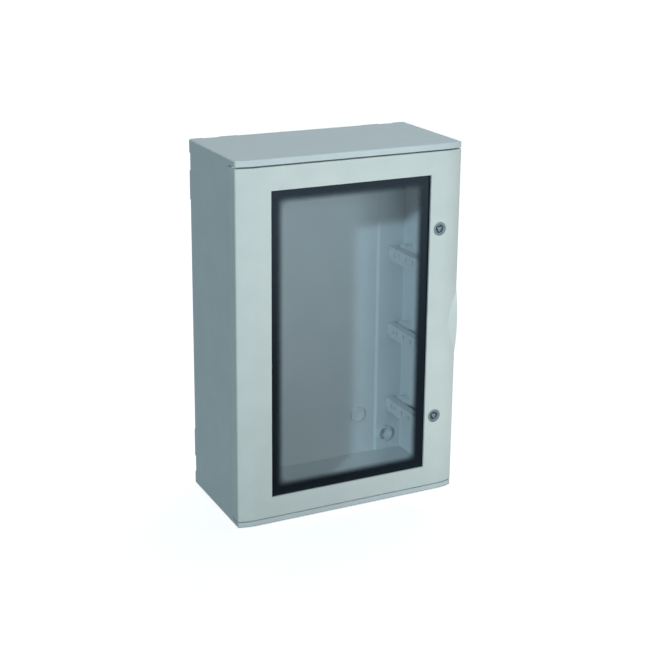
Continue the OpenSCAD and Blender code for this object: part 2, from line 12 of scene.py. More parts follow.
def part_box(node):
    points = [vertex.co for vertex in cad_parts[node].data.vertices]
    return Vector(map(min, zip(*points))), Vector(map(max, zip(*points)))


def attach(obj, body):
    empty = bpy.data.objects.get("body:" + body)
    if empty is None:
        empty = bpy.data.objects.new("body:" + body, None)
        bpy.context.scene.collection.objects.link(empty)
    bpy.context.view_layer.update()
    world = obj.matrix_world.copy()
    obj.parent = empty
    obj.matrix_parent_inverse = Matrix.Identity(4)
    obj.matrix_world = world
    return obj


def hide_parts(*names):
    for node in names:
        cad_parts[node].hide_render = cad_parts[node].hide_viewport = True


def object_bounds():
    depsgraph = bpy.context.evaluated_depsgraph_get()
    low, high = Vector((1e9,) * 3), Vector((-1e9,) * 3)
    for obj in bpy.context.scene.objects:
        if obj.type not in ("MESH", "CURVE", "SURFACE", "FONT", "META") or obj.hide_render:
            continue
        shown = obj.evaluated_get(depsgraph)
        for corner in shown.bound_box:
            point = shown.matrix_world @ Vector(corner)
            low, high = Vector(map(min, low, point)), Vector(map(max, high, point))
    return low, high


bl_info = {
    "name": "Distribution Box Dresser",
    "version": (1, 0, 0),
    "blender": (4, 5, 0),
    "location": "View3D > Sidebar > Distribution Box",
    "description": "Finishes and fine fittings for a wall-mounted polyester box with a glazed door",
    "category": "Object",
}

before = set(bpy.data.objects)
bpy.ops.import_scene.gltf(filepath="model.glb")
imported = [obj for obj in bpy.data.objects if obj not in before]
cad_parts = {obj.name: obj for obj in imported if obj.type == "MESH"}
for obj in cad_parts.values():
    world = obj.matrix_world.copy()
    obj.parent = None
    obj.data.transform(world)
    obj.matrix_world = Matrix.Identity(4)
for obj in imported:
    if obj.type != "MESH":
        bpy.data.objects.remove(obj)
CAD_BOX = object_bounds()
MM = 0.001
LEVELS = ("upper", "lower")
RAILS = [f"rail_{side}_{row}" for side in ("left", "right") for row in (1, 2, 3, 4)]
SMOOTH_ANGLE = radians(32)

# Sizes of the pan-head screws, in millimetres
Screw = namedtuple("Screw", "head_diameter head_height shank_diameter shank_length pitch")
CLIP_SCREW = Screw(6.5, 2.4, 3.2, 8, 0.8)
RAIL_SCREW = Screw(8, 2.4, 4, 8.8, 0.7)
CAM_SCREW = Screw(9, 3, 4, 9.4, 0.7)


def linear(code):
    """Linear colour of an sRGB hex code."""
    parts = [int(code[i:i + 2], 16) / 255 for i in (1, 3, 5)]
    return [p / 12.92 if p <= 0.04045 else ((p + 0.055) / 1.055) ** 2.4 for p in parts]


def colour(name, description, code):
    """Colour property with an sRGB hex code as its default."""
    return FloatVectorProperty(name=name, description=description, subtype="COLOR", min=0, max=1,
                               default=linear(code))


def length(name, description, millimetres):
    """Length property with its default given in millimetres."""
    return FloatProperty(name=name, description=description, subtype="DISTANCE", unit="LENGTH", min=0,
                         default=millimetres * MM)


def strength(name, description, default):
    """Plain property for the strength of a light."""
    return FloatProperty(name=name, description=description, min=0, default=default)


def angle(name, description, degrees):
    """Angle property with its default given in degrees."""
    return FloatProperty(name=name, description=description, subtype="ANGLE", default=radians(degrees))


def spot(name, description, place):
    """Property for a place in metres."""
    return FloatVectorProperty(name=name, description=description, subtype="XYZ", unit="LENGTH",
                               default=place)


class FinishSettings(bpy.types.PropertyGroup):
    """Colours of the box's finishes, and the sizes of their grain"""
    body: colour("Body", "Moulded polyester of the box and the rails", "#BCC9CA")
    door: colour("Door", "Moulded polyester of the door", "#C1CCC9")
    cloud: length("Clouding", "Width of the faint clouds that the resin leaves in the moulding", 45)
    peel: length("Orange peel", "Width of the ripples in the moulded skin, drawn coarse enough to show", 1.8)
    edge: length("Moulded edge", "Radius of the moulding's outer edges", 1.0)
    pane: colour("Pane", "Tint of the smoked window", "#EEF2F5")
    border: colour("Border", "Print and frame along the edge of the window", "#0B141C")
    border_width: length("Border width", "Width of the printed border inside the window", 8.5)
    border_fade: length("Border fade", "Width over which the print fades into the clear pane", 18)
    zinc: colour("Zinc plating", "Plated steel of the clips, cams and nuts", "#B9BEC2")
    lock: colour("Lock body", "Painted casting of the lock", "#849296")
    core: colour("Lock core", "Bare casting of the key", "#8796A0")
    brass: colour("Brass", "Threaded inserts", "#C3A052")
    nylon: colour("Nylon", "Hinge bushes", "#DEDACB")
    screw: colour("Insulating screw", "Nylon screws of the rails", "#AAB7B9")
    rubber: colour("Rubber", "Gasket of the pane", "#343C42")
    foam: colour("Foam", "Seal of the door", "#33383B")


class FittingSettings(bpy.types.PropertyGroup):
    """Sizes of the fine fittings that aren't read from the frame"""
    rosette_thickness: length("Rosette", "Thickness of the lock's rosette", 2.5)
    rosette_brow: length("Rosette brow", "Rounding along the front edge of the rosette", 0.9)
    barrel_diameter: length("Barrel", "Diameter of the lock's barrel", 20)
    thread_pitch: length("Thread pitch", "Pitch of the thread on the lock's barrel", 1.5)
    thread_depth: length("Thread depth", "Depth of the thread on the lock's barrel", 0.8)
    nut_play: length("Nut play", "Clearance between the barrel and the bore of its nut", 0.1)
    nut_edge: length("Nut edge", "Rounding of the nut's edges", 0.02)
    socket_diameter: length("Socket", "Diameter of the key socket", 15)
    socket_depth: length("Socket depth", "Depth of the key socket", 9)
    socket_chamfer: length("Socket chamfer", "Chamfer round the mouth of the key socket", 0.6)
    spindle_diameter: length("Spindle", "Diameter of the lock's spindle", 10)
    spindle_play: length("Spindle play", "Clearance round the spindle and in the hole of the cam", 0.05)
    disc_thickness: length("Key disc", "Thickness of the disc under the key, with its clearance", 2)
    key_radius: length("Key", "Distance from the middle of the key to its corners", 5.5)
    key_sink: length("Key sink", "How far the key lies behind the rosette", 0.8)
    key_corner: length("Key corner", "Rounding of the key's three corners", 0.8)
    key_root: length("Key root", "How far the key reaches into its disc", 0.5)
    cast_edge: length("Cast edge", "Rounding of the key's and the disc's front edges", 0.4)
    square: length("Square", "Side of the square that carries the cam", 7)
    square_length: length("Square length", "Length of the square behind its shoulder", 3.05)
    square_root: length("Square root", "How far the square reaches into the spindle", 1)
    square_corner: length("Square corner", "Rounding of the square's corners", 0.5)
    square_edge: length("Square edge", "Rounding of the square's end", 0.1)
    cam_tip: length("Cam tip", "Radius at the corners of the cam's tip", 4)
    clip_corner: length("Clip corner", "Radius at the corners of the pane's clips", 2.5)
    clip_bore: length("Clip bore", "Diameter of the screw hole in a clip", 3.8)
    seal_width: length("Seal width", "Width of the foam seal", 8)
    seal_corner: length("Seal corner", "Radius at the outer corners of the foam seal", 9)
    seal_inner_corner: length("Seal inner corner", "Least radius at the inner corners of the foam seal", 1)
    sheet_edge: length("Sheet edge", "Rounding of punched metal edges", 0.3)


class StageSettings(bpy.types.PropertyGroup):
    """Camera, lights and floor"""
    floor: colour("Floor", "Pale floor and background", "#F2F4F4")
    floor_reach: length("Floor reach", "Half of the floor's width", 15000)
    floor_near: length("Floor near", "Distance in front at which the mirrored floor starts to brighten", 400)
    floor_far: length("Floor far", "Distance in front at which the mirrored floor is white", 2200)
    floor_glow: strength("Floor glow", "Paleness that the background adds to the floor", 0.84)
    mirrored: colour("Mirrored floor", "Colour of the floor as the pane and the polyester mirror it",
                     "#BFDCF6")
    ambient: colour("Ambient", "Soft light from all round", "#C4D6E6")
    ambient_level: strength("Ambient level", "Strength of the light from all round", 0.03)
    key_place: spot("Key place", "Way to the lamp on the left, from the middle of the box",
                    (-0.72, -0.577, 0.35))
    key_angle: angle("Key angle", "Angle that the lamp on the left fills", 3)
    key_level: strength("Key level", "Strength of the lamp on the left", 1.95)
    key_tint: colour("Key tint", "Colour of the lamp on the left", "#E0F2FB")
    top_place: spot("Top place", "Way to the softbox overhead, from the middle of the box",
                    (0.2, 0.2, 0.96))
    top_angle: angle("Top angle", "Angle that the softbox overhead fills", 40)
    top_level: strength("Top level", "Strength of the softbox overhead", 0.92)
    top_tint: colour("Top tint", "Colour of the softbox overhead", "#D2EEF8")
    front_place: spot("Front place", "Place of the softbox in front, from the middle of the box",
                      (0.03, -1.0, 0.32))
    front_width: length("Front width", "Width of the softbox in front", 500)
    front_level: strength("Front level", "Power of the softbox in front, in watts", 6.6)
    front_tint: colour("Front tint", "Colour of the softbox in front", "#FAFAFA")
    right_place: spot("Right place", "Place of the low lamp on the right, from the middle of the box",
                      (0.45, -0.35, -0.24))
    right_aim: spot("Right aim", "Point that the low lamp on the right lights, from the middle of the box",
                    (0.2, -0.1, -0.15))
    right_width: length("Right width", "Width of the low lamp on the right", 120)
    right_level: strength("Right level", "Power of the low lamp on the right, in watts", 0.55)
    right_tint: colour("Right tint", "Colour of the low lamp on the right", "#FBFBFA")
    rear_place: spot("Rear place", "Way to the fill light behind, from the middle of the box",
                     (0.8, 1, 0.15))
    rear_angle: angle("Rear angle", "Angle that the fill light from behind fills", 20)
    rear_level: strength("Rear level", "Strength of the fill light from behind", 0.9)
    rear_tint: colour("Rear tint", "Colour of the fill light from behind", "#E8F2F8")
    lens: FloatProperty(name="Lens", description="Focal length on a 36 mm wide sensor, in millimetres",
                        default=75.96, min=1)
    rise: FloatProperty(name="Lens rise", description="Upward shift of the lens, as a share of the frame",
                        default=-0.1)
    place: spot("Camera", "Place of the camera", (-1.022, -2.0913, 1.0893))
    yaw: angle("Yaw", "Turn of the camera from straight ahead", 26.14)
    pitch: angle("Pitch", "Tilt of the camera below level", 15.96)
    roll: angle("Roll", "Turn of the camera about its own axis", 0.5)


def add(tree, kind, inputs=None, **settings):
    """Adds a node with its settings, and sets its inputs or links them to other nodes' outputs."""
    node = tree.nodes.new("ShaderNode" + kind)
    for key, value in settings.items():
        setattr(node, key, value)
    for key, value in (inputs or {}).items():
        if isinstance(value, bpy.types.NodeSocket):
            tree.links.new(value, node.inputs[key])
        else:
            node.inputs[key].default_value = value
    return node


def blank(name):
    """New material with an empty node tree, its output node and object coordinates."""
    material = bpy.data.materials.new(name)
    material.use_nodes = True
    tree = material.node_tree
    tree.nodes.clear()
    return material, tree, add(tree, "OutputMaterial"), add(tree, "TexCoord").outputs["Object"]


def solid(tint):
    """Opaque colour for a socket that has four channels."""
    return (*tint, 1)


def shade(tint, share):
    """Colour made lighter or darker by a share of itself, for a socket that has four channels."""
    return solid([min(1, c * share) for c in tint])


def moulded_polyester(name, tint, finish):
    # Hot-pressed glass-fibre polyester: a satin skin with a faint orange peel, soft moulded edges
    # and slow clouds where the resin and the fibres have flowed. The peel is drawn coarser than the
    # real one, so that it shows.
    material, tree, out, place = blank(name)
    cloud = add(tree, "TexNoise", {"Vector": place, "Scale": 1 / finish.cloud, "Detail": 3,
                                   "Roughness": 0.55})
    fleck = add(tree, "TexNoise", {"Vector": place, "Scale": 1 / finish.peel, "Detail": 2})
    clouded = add(tree, "MapRange", {"Value": cloud.outputs["Fac"], "From Min": 0.3, "From Max": 0.7})
    tone = add(tree, "Mix", {0: clouded.outputs["Result"], 6: shade(tint, 0.965), 7: shade(tint, 1.02)},
               data_type="RGBA")
    flecked = add(tree, "MapRange", {"Value": fleck.outputs["Fac"], "From Min": 0.62, "From Max": 0.78,
                                     "To Max": 0.35})
    skin = add(tree, "Mix", {0: flecked.outputs["Result"], 6: tone.outputs[2], 7: shade(tint, 0.93)},
               data_type="RGBA")
    gloss = add(tree, "MapRange", {"Value": cloud.outputs["Fac"], "To Min": 0.38, "To Max": 0.5})
    rounded = add(tree, "Bevel", {"Radius": finish.edge}, samples=6)
    peel = add(tree, "Bump", {"Height": fleck.outputs["Fac"], "Strength": 0.045, "Distance": 0.1 * MM,
                              "Normal": rounded.outputs["Normal"]})
    shader = add(tree, "BsdfPrincipled", {"Base Color": skin.outputs[2], "Roughness": gloss.outputs["Result"],
                                          "IOR": 1.53, "Normal": peel.outputs["Normal"]})
    tree.links.new(shader.outputs["BSDF"], out.inputs["Surface"])
    return material


def smoked_acrylic(name, finish):
    # Cast acrylic, lightly smoked, with a blue-black print along its edge: clear and glossy in the
    # middle, fading softly to an opaque border.
    material, tree, out, place = blank(name)
    opening_low, opening_high = window_opening()
    middle = (opening_low + opening_high) / 2
    half = (opening_high - opening_low) / 2
    apart = add(tree, "SeparateXYZ", {"Vector": place})
    offset = add(tree, "Math", {0: apart.outputs["Z"], 1: middle.z}, operation="SUBTRACT")
    aside = add(tree, "Math", {0: apart.outputs["X"]}, operation="ABSOLUTE")
    above = add(tree, "Math", {0: offset.outputs["Value"]}, operation="ABSOLUTE")
    from_side = add(tree, "Math", {0: half.x, 1: aside.outputs["Value"]}, operation="SUBTRACT")
    from_end = add(tree, "Math", {0: half.z, 1: above.outputs["Value"]}, operation="SUBTRACT")
    inward = add(tree, "Math", {0: from_side.outputs["Value"], 1: from_end.outputs["Value"],
                                2: finish.border_fade}, operation="SMOOTH_MIN")
    clear = add(tree, "MapRange", {"Value": inward.outputs["Value"], "From Min": finish.border_width,
                                   "From Max": finish.border_width + finish.border_fade},
                interpolation_type="SMOOTHSTEP").outputs["Result"]
    ink = add(tree, "BsdfPrincipled", {"Base Color": solid(finish.border), "Roughness": 0.02, "IOR": 1.49,
                                       "Specular IOR Level": 0.42})
    sheet = add(tree, "BsdfPrincipled", {"Base Color": solid(finish.pane), "Roughness": 0.02, "IOR": 1.49,
                                         "Specular IOR Level": 0.42, "Transmission Weight": 1})
    printed = add(tree, "MixShader", {0: clear, 1: ink.outputs["BSDF"], 2: sheet.outputs["BSDF"]})
    passed = add(tree, "Mix", {0: clear, 6: solid((0, 0, 0)), 7: solid(finish.pane)}, data_type="RGBA")
    through = add(tree, "BsdfTransparent", {"Color": passed.outputs[2]})
    path = add(tree, "LightPath")
    mixed = add(tree, "MixShader", {0: path.outputs["Is Shadow Ray"], 1: printed.outputs["Shader"],
                                    2: through.outputs["BSDF"]})
    tree.links.new(mixed.outputs["Shader"], out.inputs["Surface"])
    return material


def satin_plastic(name, tint, finish, roughness, grain):
    # Injection-moulded plastic: even colour and a satin skin from a spark-eroded mould. Its fine pits
    # are drawn coarser than the real ones, so that they show.
    material, tree, out, place = blank(name)
    spark = add(tree, "TexNoise", {"Vector": place, "Scale": 1 / grain, "Detail": 2})
    tone = add(tree, "Mix", {0: spark.outputs["Fac"], 6: shade(tint, 0.92), 7: shade(tint, 1.08)},
               data_type="RGBA")
    rounded = add(tree, "Bevel", {"Radius": finish.edge / 2}, samples=4)
    skin = add(tree, "Bump", {"Height": spark.outputs["Fac"], "Strength": 0.1, "Distance": 0.1 * MM,
                              "Normal": rounded.outputs["Normal"]})
    shader = add(tree, "BsdfPrincipled", {"Base Color": tone.outputs[2], "Roughness": roughness, "IOR": 1.5,
                                          "Normal": skin.outputs["Normal"]})
    tree.links.new(shader.outputs["BSDF"], out.inputs["Surface"])
    return material


def cellular_rubber(name, tint, pore, depth):
    # Expanded or extruded rubber: dull and dark, with fine closed pores that are drawn large enough
    # to show. The colour darkens towards the middle of each pore: painted shade in the pits.
    material, tree, out, place = blank(name)
    cells = add(tree, "TexVoronoi", {"Vector": place, "Scale": 1 / pore})
    pore_depth_and_shade = add(tree, "MapRange", {"Value": cells.outputs["Distance"], "From Max": 0.6})
    # Painted shade: each pore's colour darkens towards its deepest point, where its bump is deepest
    tone = add(tree, "Mix", {0: pore_depth_and_shade.outputs["Result"], 6: shade(tint, 0.7), 7: shade(tint, 1.15)},
               data_type="RGBA")
    pores = add(tree, "Bump", {"Height": pore_depth_and_shade.outputs["Result"], "Strength": 0.4, "Distance": depth})
    shader = add(tree, "BsdfPrincipled", {"Base Color": tone.outputs[2], "Roughness": 0.85, "IOR": 1.52,
                                          "Normal": pores.outputs["Normal"]})
    tree.links.new(shader.outputs["BSDF"], out.inputs["Surface"])
    return material


def plated_metal(name, tint, roughness, grain, stretch):
    # Bright plated or turned metal: fine marks along the rolling or cutting direction break up the
    # reflections, and the surface varies a little in tone. The marks are drawn wide enough to show.
    material, tree, out, place = blank(name)
    drawn = add(tree, "Mapping", {"Vector": place, "Scale": stretch})
    marks = add(tree, "TexNoise", {"Vector": drawn.outputs["Vector"], "Scale": 1 / grain, "Detail": 3})
    tone = add(tree, "Mix", {0: marks.outputs["Fac"], 6: shade(tint, 0.85), 7: shade(tint, 1.1)},
               data_type="RGBA")
    gloss = add(tree, "MapRange", {"Value": marks.outputs["Fac"], "To Min": roughness - 0.08,
                                   "To Max": roughness + 0.1})
    cut = add(tree, "Bump", {"Height": marks.outputs["Fac"], "Strength": 0.08, "Distance": 0.05 * MM})
    shader = add(tree, "BsdfPrincipled", {"Base Color": tone.outputs[2], "Metallic": 1,
                                          "Roughness": gloss.outputs["Result"],
                                          "Normal": cut.outputs["Normal"]})
    tree.links.new(shader.outputs["BSDF"], out.inputs["Surface"])
    return material


def zinc_casting(name, tint, roughness, grain):
    # Zinc pressure casting, painted grey or left bare: satin, slightly uneven and mottled in tone.
    material, tree, out, place = blank(name)
    mottle = add(tree, "TexNoise", {"Vector": place, "Scale": 1 / grain, "Detail": 3})
    tone = add(tree, "Mix", {0: mottle.outputs["Fac"], 6: shade(tint, 0.88), 7: shade(tint, 1.1)},
               data_type="RGBA")
    coat = add(tree, "Bump", {"Height": mottle.outputs["Fac"], "Strength": 0.1, "Distance": 0.1 * MM})
    shader = add(tree, "BsdfPrincipled", {"Base Color": tone.outputs[2], "Metallic": 0.35,
                                          "Roughness": roughness, "Normal": coat.outputs["Normal"]})
    tree.links.new(shader.outputs["BSDF"], out.inputs["Surface"])
    return material


def in_sight(tree, *ways):
    """Output that is 1 where the camera meets a surface by one of these ways, with no scattering before."""
    path = add(tree, "LightPath")
    met = path.outputs[ways[0]]
    for way in ways[1:]:
        met = add(tree, "Math", {0: met, 1: path.outputs[way]}, operation="MAXIMUM").outputs["Value"]
    direct = add(tree, "Math", {0: path.outputs["Diffuse Depth"], 1: 0.5}, operation="LESS_THAN")
    return add(tree, "Math", {0: met, 1: direct.outputs["Value"]}, operation="MULTIPLY").outputs["Value"]


def dress(material, *nodes):
    """Gives CAD nodes a finish."""
    for node in nodes:
        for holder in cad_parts[node].material_slots:
            holder.material = material


def window_opening():
    """Lowest and highest corner of the opening in the door, from the gasket's inner edge."""
    points = [v.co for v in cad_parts["pane_gasket"].data.vertices]
    low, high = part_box("pane_gasket")
    middle = (low + high) / 2
    side = min(p.x for p in points if p.x > middle.x)
    top = min(p.z for p in points if p.z > middle.z)
    bottom = max(p.z for p in points if p.z < middle.z)
    return Vector((2 * middle.x - side, low.y, bottom)), Vector((side, high.y, top))


def solids_of(node):
    """Boxes round the separate solids of a CAD node, each as its lowest and highest corner."""
    bm = bmesh.new()
    bm.from_mesh(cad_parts[node].data)
    bmesh.ops.remove_doubles(bm, verts=bm.verts, dist=0.001 * MM)
    unseen = set(bm.verts)
    boxes = []
    for start in bm.verts:
        if start not in unseen:
            continue
        unseen.discard(start)
        group = [start]
        for vert in group:
            near = {edge.other_vert(vert) for edge in vert.link_edges} & unseen
            unseen -= near
            group.extend(near)
        places = [[vert.co[i] for vert in group] for i in range(3)]
        boxes.append((Vector(map(min, places)), Vector(map(max, places))))
    bm.free()
    return boxes


def arc(centre, radius, start, end, steps):
    """Points along an arc, from one angle to another in degrees."""
    angles = [radians(start + (end - start) * i / steps) for i in range(steps + 1)]
    return [(centre[0] + radius * cos(a), centre[1] + radius * sin(a)) for a in angles]


def round_hole(centre, radius, count):
    """Points round a circular hole, clockwise."""
    return arc(centre, radius, 360, 360 / count, count - 1)


def rectangle(half_x, half_y):
    """Corners of a rectangle round the origin, anticlockwise."""
    return [(-half_x, -half_y), (half_x, -half_y), (half_x, half_y), (-half_x, half_y)]


def round_polygon(corners, radius, steps=5):
    """Outline through corners given anticlockwise, each rounded by a radius."""
    points = []
    count = len(corners)
    for i, corner in enumerate(corners):
        here = Vector(corner)
        back = (Vector(corners[i - 1]) - here).normalized()
        ahead = (Vector(corners[(i + 1) % count]) - here).normalized()
        half = back.angle(ahead) / 2
        centre = here + (back + ahead).normalized() * (radius / sin(half))
        start = here + back * (radius / (sin(half) / cos(half))) - centre
        turn = pi - 2 * half
        for step in range(steps + 1):
            points.append(tuple(centre + Matrix.Rotation(turn * step / steps, 2) @ start))
    return points


def lathe(bm, profile, place, segments=48, closed=False):
    """Revolves a profile of radius and height pairs round the Z axis of a placement."""
    rings = []
    for radius, height in profile:
        if radius == 0:
            rings.append([bm.verts.new(place @ Vector((0, 0, height)))] * segments)
            continue
        turns = [tau * i / segments for i in range(segments)]
        points = [Vector((radius * cos(turn), radius * sin(turn), height)) for turn in turns]
        rings.append([bm.verts.new(place @ point) for point in points])
    pairs = list(zip(rings, rings[1:]))
    if closed:
        pairs.append((rings[-1], rings[0]))
    for lower, upper in pairs:
        for i in range(segments):
            corners = dict.fromkeys([lower[i - 1], lower[i], upper[i], upper[i - 1]])
            bm.faces.new(list(corners))


def plate(outlines, thickness, edge):
    """Mesh of a flat plate on the XY plane, rising from it, with rounded edges. Later outlines are holes."""
    curve = bpy.data.curves.new("plate", "CURVE")
    curve.dimensions = "2D"
    curve.fill_mode = "BOTH"
    curve.extrude = thickness / 2 - edge
    curve.bevel_depth = edge
    curve.bevel_resolution = 2
    for outline in outlines:
        spline = curve.splines.new("POLY")
        spline.points.add(len(outline) - 1)
        for point, (x, y) in zip(spline.points, outline):
            point.co = (x, y, 0, 1)
        spline.use_cyclic_u = True
    holder = bpy.data.objects.new("plate", curve)
    bpy.context.collection.objects.link(holder)
    mesh = evaluated(holder)
    bpy.data.objects.remove(holder)
    mesh.transform(Matrix.Translation((0, 0, thickness / 2)))
    return mesh


def evaluated(holder):
    """Mesh of an object with its modifiers applied."""
    bpy.context.view_layer.update()
    graph = bpy.context.evaluated_depsgraph_get()
    return bpy.data.meshes.new_from_object(holder.evaluated_get(graph))


def carve(mesh, cutter, operation):
    """Mesh after a boolean with a cutter, which is used up."""
    holders = [bpy.data.objects.new("carve", data) for data in (mesh, cutter)]
    for holder in holders:
        bpy.context.collection.objects.link(holder)
    change = holders[0].modifiers.new("carve", "BOOLEAN")
    change.operation = operation
    change.solver = "EXACT"
    change.object = holders[1]
    result = evaluated(holders[0])
    for holder in holders:
        bpy.data.objects.remove(holder)
    return result


def to_mesh(bm):
    """Mesh of a bmesh, which is used up."""
    bmesh.ops.recalc_face_normals(bm, faces=bm.faces)
    mesh = bpy.data.meshes.new("piece")
    bm.to_mesh(mesh)
    bm.free()
    return mesh


def join(parts):
    """One mesh of several, given as pairs of a mesh and its placement."""
    bm = bmesh.new()
    for mesh, place in parts:
        moved = mesh.copy()
        moved.transform(place)
        if place.is_negative:
            moved.flip_normals()
        bm.from_mesh(moved)
        bpy.data.meshes.remove(moved)
    mesh = bpy.data.meshes.new("piece")
    bm.to_mesh(mesh)
    bm.free()
    return mesh


def piece(name, mesh, material, body, slot, *nodes):
    """Object of a mesh that rides on a body and stands for CAD nodes."""
    mesh.materials.clear()
    mesh.materials.append(material)
    mesh.polygons.foreach_set("use_smooth", [True] * len(mesh.polygons))
    mesh.set_sharp_from_angle(angle=SMOOTH_ANGLE)
    made = bpy.data.objects.new(name, mesh)
    bpy.context.collection.objects.link(made)
    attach(made, body)
    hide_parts(*nodes)
    return made


def facing(axis):
    """Rotation that turns +Z to an axis."""
    return Vector((0, 0, 1)).rotation_difference(Vector(axis)).to_matrix().to_4x4()


def recessed_screw(sizes):
    """Mesh of a pan-head screw along +Z with its seat at the origin, a cross recess and a thread."""
    head_d, head_h, shank_d, shank_h, pitch = [size * MM for size in sizes]
    head_r = head_d / 2
    rim = head_h * 0.45
    dome_r = (head_r ** 2 + (head_h - rim) ** 2) / (2 * (head_h - rim))
    reach = asin(head_r / dome_r)
    steps = 6
    dome = [(dome_r * sin(reach * i / steps), head_h - dome_r + dome_r * cos(reach * i / steps))
            for i in range(steps + 1)]
    crest, root = shank_d / 2, shank_d / 2 - 0.35 * pitch
    turns = int(shank_h / pitch) - 1
    thread = []
    for turn in range(turns):
        thread += [(crest, -pitch * (turn + 0.35)), (root, -pitch * (turn + 0.85))]
    profile = [*dome, (head_r, 0), (crest, 0), *thread, (root, -shank_h + 0.3 * pitch), (0, -shank_h)]
    bm = bmesh.new()
    lathe(bm, profile, Matrix())
    screw = to_mesh(bm)
    arm_l, arm_w, arm_h = head_d * 0.62, head_d * 0.17, head_h * 0.6
    for turn in (0, pi / 2):
        bm = bmesh.new()
        bmesh.ops.create_cube(bm, size=1)
        for vert in bm.verts:
            narrow = 0.55 if vert.co.z < 0 else 1
            vert.co = Vector((vert.co.x * arm_l * narrow, vert.co.y * arm_w, vert.co.z * 2 * arm_h + head_h))
            vert.co.rotate(Matrix.Rotation(turn, 3, "Z"))
        screw = carve(screw, to_mesh(bm), "DIFFERENCE")
    return screw


class BOX_OT_finish_mouldings(bpy.types.Operator):
    """Finish the moulded body, door and rails"""
    bl_idname = "box.finish_mouldings"
    bl_label = "Finish mouldings"

    def execute(self, context):
        finish = context.scene.box_finish
        body = moulded_polyester("moulded_polyester_body", finish.body, finish)
        door = moulded_polyester("moulded_polyester_door", finish.door, finish)
        dress(body, "enclosure_body", *RAILS)
        dress(door, "door_frame")
        return {"FINISHED"}


class BOX_OT_finish_window(bpy.types.Operator):
    """Finish the smoked pane, its gasket and the dark frame behind it"""
    bl_idname = "box.finish_window"
    bl_label = "Finish window"

    def execute(self, context):
        finish = context.scene.box_finish
        dress(smoked_acrylic("smoked_acrylic_pane", finish), "window_pane")
        dress(satin_plastic("satin_plastic_border", finish.border, finish, roughness=0.45, grain=1.5 * MM),
              "pane_retainer")
        dress(cellular_rubber("extruded_rubber_gasket", finish.rubber, pore=1.2 * MM, depth=0.05 * MM),
              "pane_gasket")
        return {"FINISHED"}


class BOX_OT_finish_hinges(bpy.types.Operator):
    """Finish the hinge pins and bushes and the inserts of the rails"""
    bl_idname = "box.finish_hinges"
    bl_label = "Finish hinges and inserts"

    def execute(self, context):
        finish = context.scene.box_finish
        steel = plated_metal("zinc_plated_steel_pins", finish.zinc, roughness=0.3, grain=1.2 * MM,
                             stretch=(1, 1, 8))
        brass = plated_metal("turned_brass_inserts", finish.brass, roughness=0.28, grain=0.8 * MM,
                             stretch=(6, 1, 1))
        nylon = satin_plastic("natural_nylon_bushes", finish.nylon, finish, roughness=0.35, grain=1.0 * MM)
        dress(steel, *[f"hinge_pin_{level}" for level in LEVELS])
        dress(nylon, *[f"hinge_bush_{level}" for level in LEVELS])
        dress(brass, "rail_inserts")
        return {"FINISHED"}


class BOX_OT_make_seal(bpy.types.Operator):
    """Make the foam ring in the door, rounded and creased where the body's collar presses it"""
    bl_idname = "box.make_seal"
    bl_label = "Make door seal"

    def execute(self, context):
        finish, fitting = context.scene.box_finish, context.scene.box_fittings
        low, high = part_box("door_seal")
        width, corner = fitting.seal_width, fitting.seal_corner
        depth = high.y - low.y
        middle = (low + high) / 2
        half_x, half_z = (high.x - low.x) / 2, (high.z - low.z) / 2
        # Shares of the width and of the depth: round shoulders with a crease between them
        shoulder = [(0, 0), (0, 0.55), (0.1, 0.88), (0.28, 1), (0.36, 0.93)]
        section = [*shoulder, (0.5, 0.84), *[(1 - across, up) for across, up in reversed(shoulder)]]
        bm = bmesh.new()
        rings = []
        for across, up in section:
            inset = across * width
            corners = rectangle(half_x - inset, half_z - inset)
            path = round_polygon(corners, max(corner - inset, fitting.seal_inner_corner), steps=6)
            rings.append([bm.verts.new((middle.x + x, low.y + up * depth, middle.z + z)) for x, z in path])
        for inner, outer in zip(rings, rings[1:] + rings[:1]):
            for i in range(len(inner)):
                bm.faces.new([inner[i - 1], inner[i], outer[i], outer[i - 1]])
        foam = cellular_rubber("closed_cell_foam_seal", finish.foam, pore=0.9 * MM, depth=0.15 * MM)
        piece("foam_seal", to_mesh(bm), foam, "door", "seal_foam", "door_seal")
        return {"FINISHED"}


class BOX_OT_make_clips(bpy.types.Operator):
    """Make the punched clips that hold the pane"""
    bl_idname = "box.make_clips"
    bl_label = "Make pane clips"

    def execute(self, context):
        finish, fitting = context.scene.box_finish, context.scene.box_fittings
        edge = fitting.sheet_edge
        holes = [(low + high) / 2 for low, high in solids_of("clip_screws")]
        parts = []
        for low, high in solids_of("pane_clips"):
            size = high - low
            middle = (low + high) / 2
            hole = min(holes, key=lambda place: (place - middle).length)
            sheet = rectangle(size.x / 2 - edge, size.z / 2 - edge)
            outline = round_polygon(sheet, fitting.clip_corner)
            bore = round_hole((hole.x - middle.x, middle.z - hole.z), fitting.clip_bore / 2 + edge, 24)
            place = Matrix.Translation((middle.x, low.y, middle.z)) @ facing((0, 1, 0))
            parts.append((plate([outline, bore], size.y, edge), place))
        steel = plated_metal("zinc_plated_steel_clips", finish.zinc, roughness=0.34, grain=1.0 * MM,
                             stretch=(1, 1, 6))
        piece("punched_clips", join(parts), steel, "door", "zinc_steel", "pane_clips")
        return {"FINISHED"}


